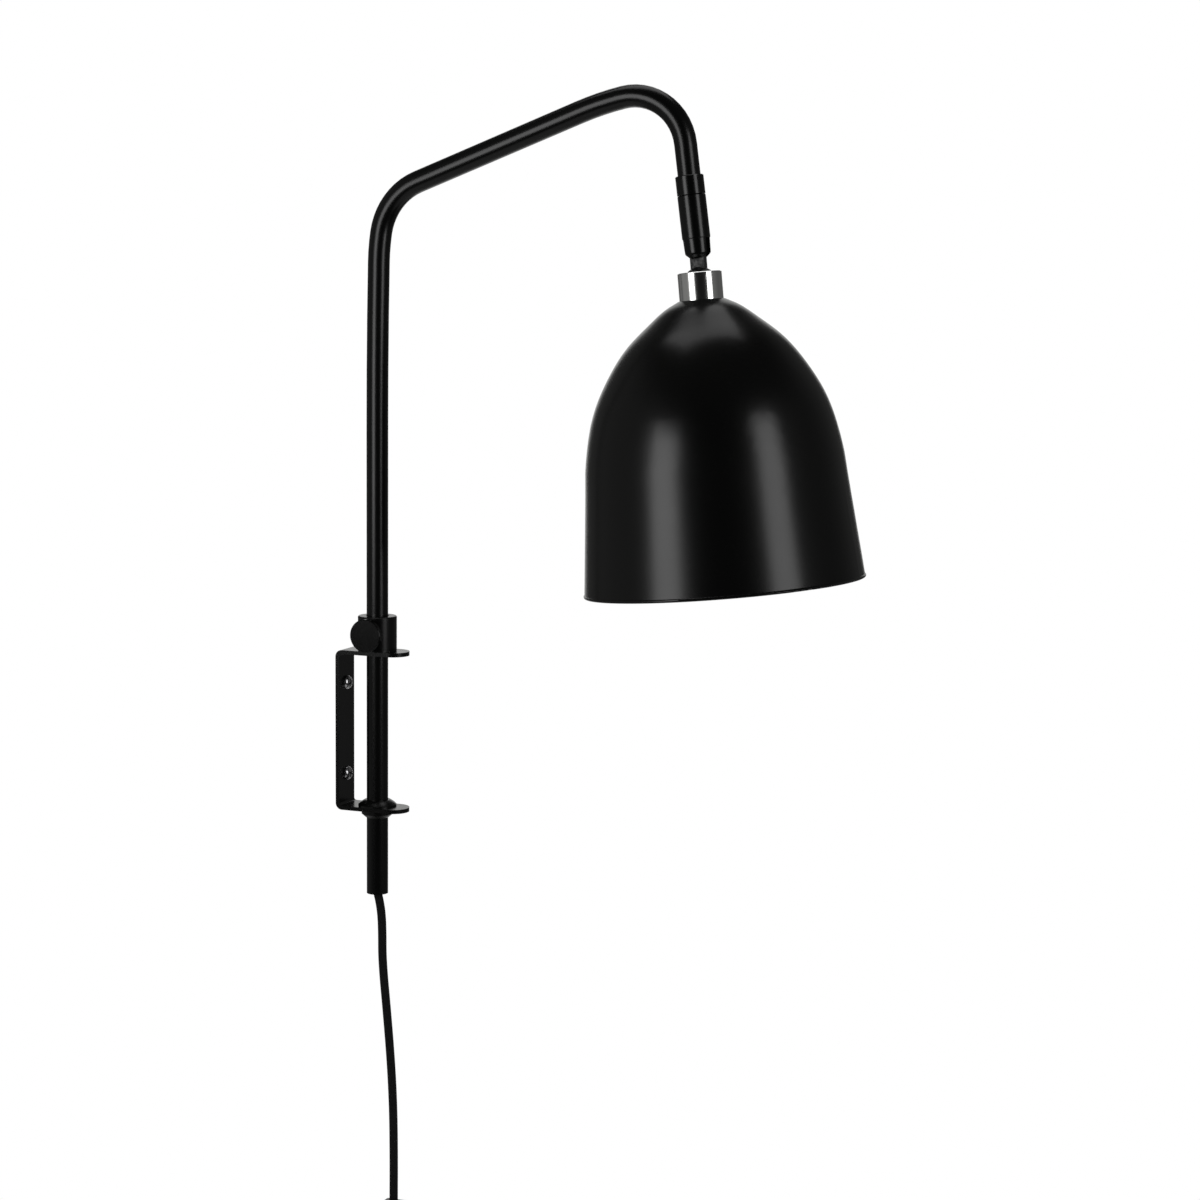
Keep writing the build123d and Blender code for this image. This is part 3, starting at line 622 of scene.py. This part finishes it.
BACKDROP = (1.0, 1.0, 1.0, 1)
ROOM_PLAIN = (0.27, 0.27, 0.27, 1)
ROOM_CEILING = (0.03, 0.03, 0.03, 1)
CEILING_FROM, CEILING_FULL = 0.45, 0.8
ROOM_WALLS = [
    # degrees to the right of the camera, seen from the lamp, and how light the room is there
    (-180, 1.0), (-166, 1.0), (-160, 0.10), (-148, 0.08), (-120, 0.145), (-95, 0.19), (-70, 0.17),
    (-45, 0.02), (-25, 0.006), (28, 0.006), (55, 0.04), (75, 0.11), (101, 0.08), (137, 0.09),
    (160, 0.07), (166, 1.0), (180, 1.0),
]


def studio_world():
    """White to the camera; reflections see the room's walls, and soft light sees a plain grey."""
    world = bpy.data.worlds.new("studio")
    bpy.context.scene.world = world
    room = Finish("studio", world)
    way = room.coordinates("Generated")
    front = Vector((CAMERA_BACK.x, CAMERA_BACK.y, 0)).normalized()
    right = Vector((-front.y, front.x, 0))
    turn = room.node("ShaderNodeMath", {"operation": "ARCTAN2"}, {
        0: room.vector("DOT_PRODUCT", way, tuple(right), 1),
        1: room.vector("DOT_PRODUCT", way, tuple(front), 1)})
    stops = [(0.5 + degrees / 360, (grey, grey, grey * 0.985, 1)) for degrees, grey in ROOM_WALLS]
    walls = room.node("ShaderNodeValToRGB", {"stops": stops}, {0: turn / math.tau + 0.5})
    rise = room.node("ShaderNodeSeparateXYZ", {}, {0: way}, 2)
    seen = room.mix(room.ramp(rise, CEILING_FROM, CEILING_FULL), walls, ROOM_CEILING)
    rays = {kind: room.node("ShaderNodeLightPath", output=f"Is {kind} Ray")
            for kind in ("Camera", "Transmission", "Diffuse")}
    seen = room.mix(rays["Diffuse"], seen, ROOM_PLAIN)
    straight = rays["Camera"].maths("MAXIMUM", rays["Camera"], rays["Transmission"])
    seen = room.mix(straight, seen, BACKDROP)
    shader = room.node("ShaderNodeBackground", {}, {"Color": seen})
    end = room.tree.nodes.new("ShaderNodeOutputWorld")
    room.tree.links.new(shader.output, end.inputs["Surface"])


studio_world()

FLOOR_DROP = 0.19
FLOOR_CENTRE_X = 0.20
FLOOR_REACH = 0.90
FLOOR_SIDES = 96
FLOOR_FADE_FROM, FLOOR_FADE_FULL = 0.30, 0.70
FLOOR_PALE = (0.80, 0.80, 0.795, 1)


def studio_floor():
    low = cad_box[0].z - FLOOR_DROP
    ring = [(FLOOR_CENTRE_X + FLOOR_REACH * math.cos(turn), FLOOR_REACH * math.sin(turn), low)
            for turn in (math.tau * i / FLOOR_SIDES for i in range(FLOOR_SIDES))]
    mesh = bpy.data.meshes.new("floor")
    mesh.from_pydata(ring, [], [tuple(range(FLOOR_SIDES))])
    floor = bpy.data.objects.new("floor", mesh)
    bpy.context.scene.collection.objects.link(floor)
    pale = Finish("pale_floor")
    from_lamp = pale.vector("DISTANCE", pale.coordinates(), (FLOOR_CENTRE_X, 0, low), 1)
    far = pale.ramp(from_lamp, FLOOR_FADE_FROM, FLOOR_FADE_FULL)
    matt = pale.node("ShaderNodeBsdfDiffuse", {}, {"Color": FLOOR_PALE})
    glow = pale.node("ShaderNodeEmission", {}, {"Color": BACKDROP, "Strength": 1.0})
    direct, through = [pale.node("ShaderNodeLightPath", output=kind)
                       for kind in ("Is Camera Ray", "Is Transmission Ray")]
    shown = direct.maths("MAXIMUM", direct, through)
    pale.node_end(pale.node("ShaderNodeMixShader", {}, {0: far * shown, 1: matt, 2: glow}))
    mesh.materials.append(pale.block)


studio_floor()
bpy.context.scene.view_settings.view_transform = "Standard"
